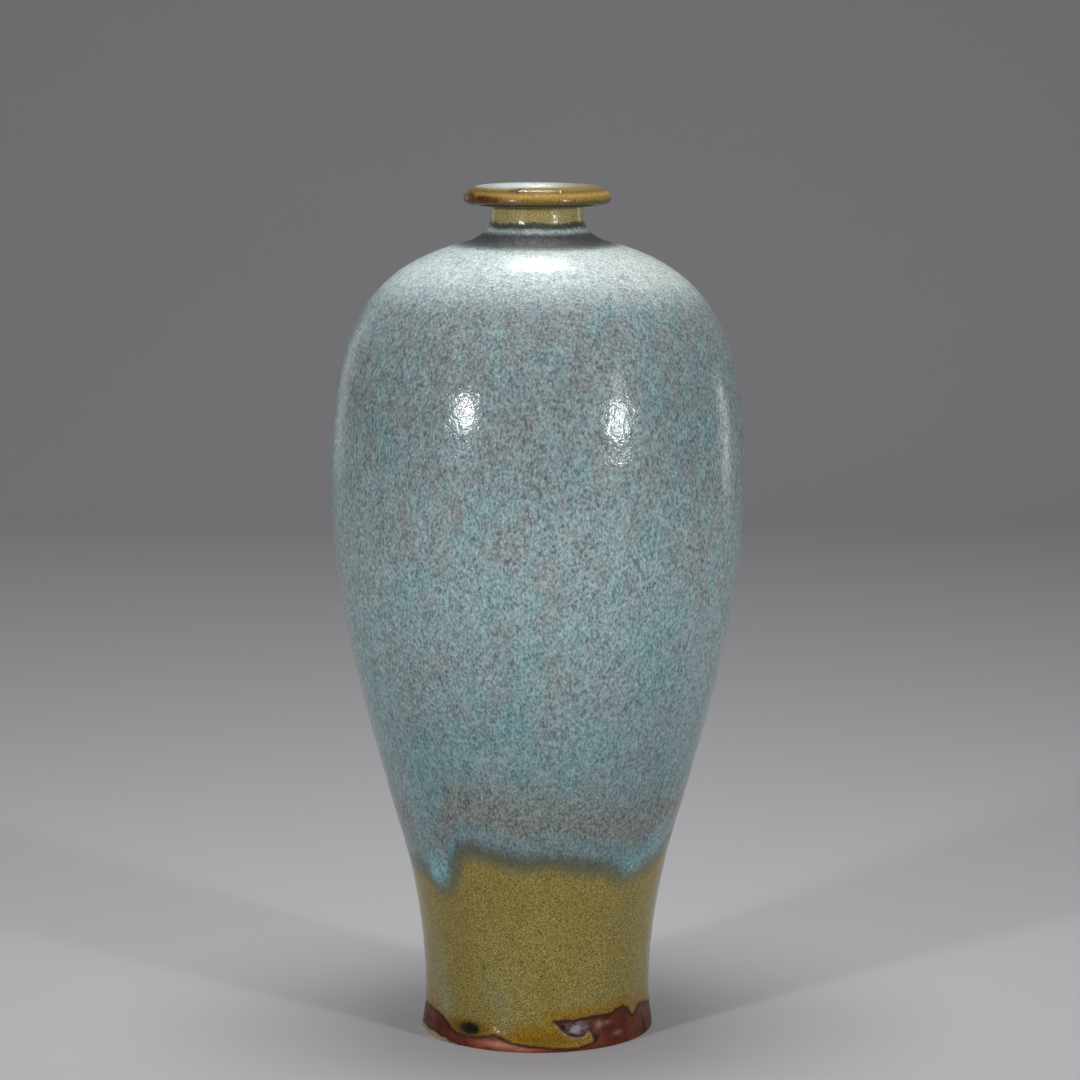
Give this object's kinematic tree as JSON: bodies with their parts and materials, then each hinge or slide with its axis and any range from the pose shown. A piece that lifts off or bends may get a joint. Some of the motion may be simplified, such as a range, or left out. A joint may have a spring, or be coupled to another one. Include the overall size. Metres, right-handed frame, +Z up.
{
  "type": "meiping vase",
  "caption": "Tall plum vase with high rounded shoulder, short neck and disc lip, mottled blue glaze over an olive glaze that stops above the bare clay foot.",
  "frame": {"origin": "centre of the foot, on the surface the vase stands on", "axes": "+Z up along the axis of the pot, -Y towards the front that the picture shows, +X to the right of it"},
  "size_m": [0.1458, 0.1458, 0.3],
  "materials": {
    "stoneware": "bare fired clay, slightly glossy",
    "slip": "matt fired slip",
    "inner_glaze": "gloss glaze",
    "olive_glaze": "gloss speckled glaze",
    "blue_glaze": "gloss mottled glaze"
  },
  "bodies": {
    "root": {"lower_body": "stoneware", "upper_body": "stoneware", "neck_and_lip": "stoneware", "body_seam_slip": "slip", "neck_seam_slip": "slip", "inner_glaze": "inner_glaze", "olive_glaze": "olive_glaze", "blue_glaze": "blue_glaze"}
  },
  "joints": []
}
